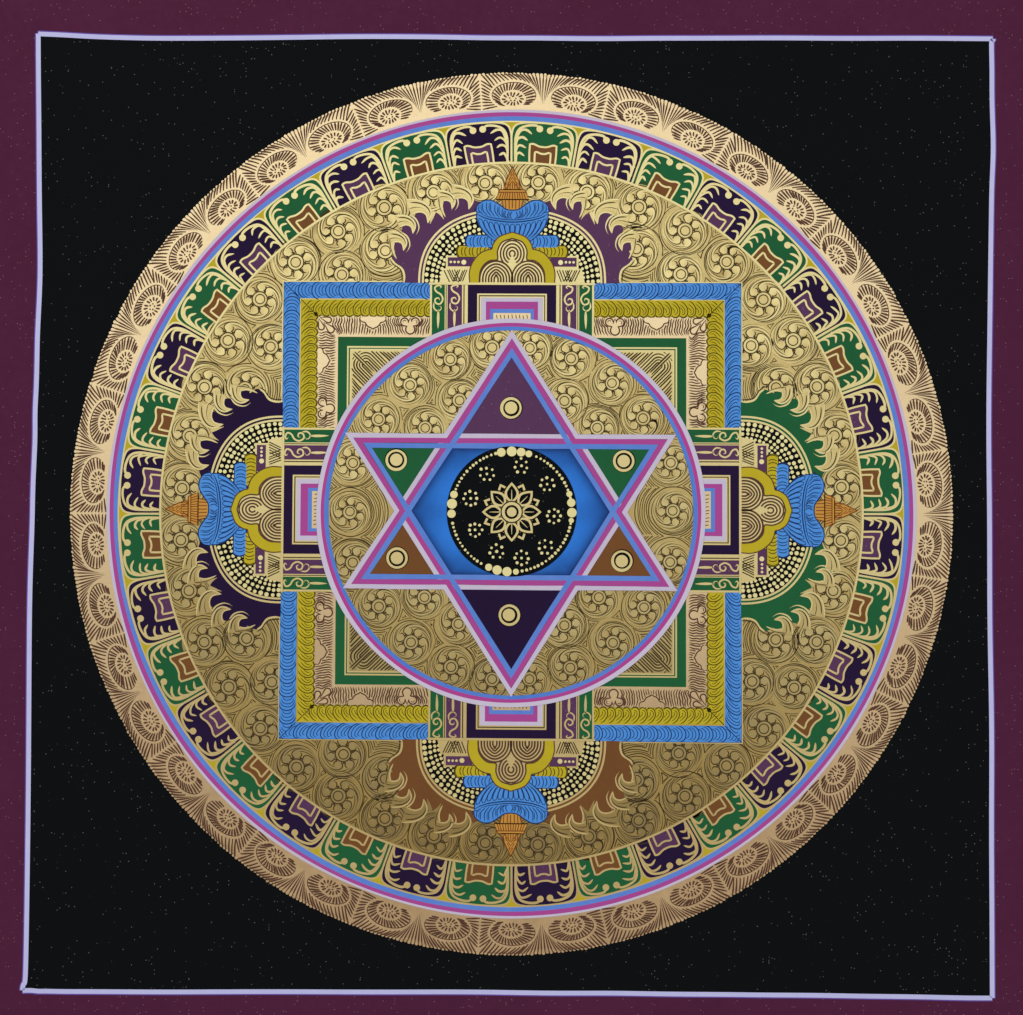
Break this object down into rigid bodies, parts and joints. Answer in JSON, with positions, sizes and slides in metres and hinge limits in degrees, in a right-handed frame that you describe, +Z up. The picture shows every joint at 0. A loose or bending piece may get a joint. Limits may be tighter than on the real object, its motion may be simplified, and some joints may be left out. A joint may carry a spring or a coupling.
{
  "type": "thangka scroll painting",
  "caption": "Square painted cotton canvas of a thangka, laid face up, with a gold mandala of rings, a gated palace square and a six-pointed star on a plum border.",
  "frame": {"origin": "middle of the canvas's flat underside, where it rests on the surface", "axes": "+Z up, out of the painted face; +X towards the picture's right edge; +Y towards the picture's top edge"},
  "size_m": [0.532, 0.532, 0.0012],
  "materials": {
    "painted_cotton": "primed cotton canvas painted in matte mineral colours with gold line work"
  },
  "bodies": {
    "root": {"canvas": "painted_cotton"}
  },
  "joints": []
}
